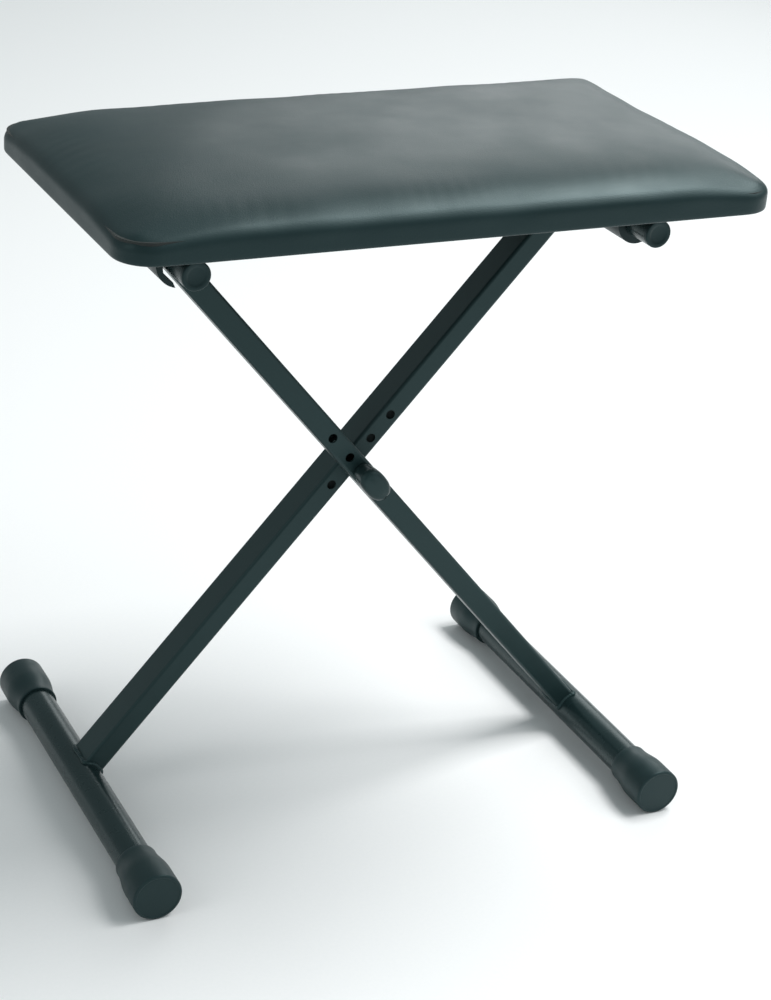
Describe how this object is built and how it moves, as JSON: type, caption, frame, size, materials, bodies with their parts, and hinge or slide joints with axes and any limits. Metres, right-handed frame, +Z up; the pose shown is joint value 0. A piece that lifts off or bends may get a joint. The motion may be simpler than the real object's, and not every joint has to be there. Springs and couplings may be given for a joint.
{
  "type": "piano bench",
  "caption": "Folding piano bench: a padded rectangular seat on an X of two steel tube legs, clamped at the crossing by a knob, with capped round foot bars.",
  "frame": {"origin": "on the floor, under the middle of the seat: the middle of the bounding box's bottom face. The pivot stands 9 mm to the left of it.", "axes": "+X along the seat's long side towards the player's right, +Y towards the back, +Z up"},
  "size_m": [0.456, 0.3, 0.4905],
  "materials": {
    "leatherette": "satin",
    "foam": "matte",
    "plywood": "raw",
    "leg_steel": "satin powder coat",
    "bar_steel": "semi-gloss powder coat",
    "weld": "satin powder coat over weld",
    "foot_cap": "satin",
    "bar_plug": "satin",
    "knob_plastic": "satin",
    "saddle_plastic": "satin",
    "spacer": "natural nylon",
    "zinc_steel": "zinc plated",
    "screw_steel": "zinc plated"
  },
  "bodies": {
    "front_leg": {"front_leg_tube": "leg_steel", "front_leg_foot_bar": "bar_steel", "front_leg_seat_bar": "bar_steel", "front_leg_foot_weld": "weld", "front_leg_seat_weld": "weld", "front_leg_foot_cap_front": "foot_cap", "front_leg_foot_cap_rear": "foot_cap", "front_leg_bar_plug_front": "bar_plug", "front_leg_bar_plug_rear": "bar_plug", "leg_spacer": "spacer", "knob_washer": "zinc_steel"},
    "back_leg": {"back_leg_tube": "leg_steel", "back_leg_foot_bar": "bar_steel", "back_leg_seat_bar": "bar_steel", "back_leg_foot_weld": "weld", "back_leg_seat_weld": "weld", "back_leg_foot_cap_front": "foot_cap", "back_leg_foot_cap_rear": "foot_cap", "back_leg_bar_plug_front": "bar_plug", "back_leg_bar_plug_rear": "bar_plug", "nut_washer": "zinc_steel", "pivot_nut": "zinc_steel"},
    "knob": {"knob": "knob_plastic", "knob_stud": "zinc_steel"},
    "seat": {"seat_board": "plywood", "seat_foam": "foam", "seat_cover": "leatherette", "bearing_saddle_front": "saddle_plastic", "bearing_saddle_rear": "saddle_plastic", "hook_saddle_front": "saddle_plastic", "hook_saddle_rear": "saddle_plastic", "saddle_screws": "screw_steel"}
  },
  "joints": [
    {"name": "leg_fold", "type": "hinge", "parent": "front_leg", "child": "back_leg", "pos_m": [-0.009, 0, 0.24001], "axis": [0, -1, 0], "range_deg": [0, 72]},
    {"name": "seat_swing", "type": "hinge", "parent": "back_leg", "child": "seat", "pos_m": [0.1535, 0, 0.42801], "axis": [0, 1, 0], "range_deg": [0, 130.68]},
    {"name": "knob_turn", "type": "hinge", "parent": "front_leg", "child": "knob", "pos_m": [-0.009, -0.035, 0.24001], "axis": [0, -1, 0], "range_deg": [0, 720]}
  ],
  "couplings": [
    {"joint": "seat_swing", "follows": "leg_fold", "ratio": 1.815}
  ]
}
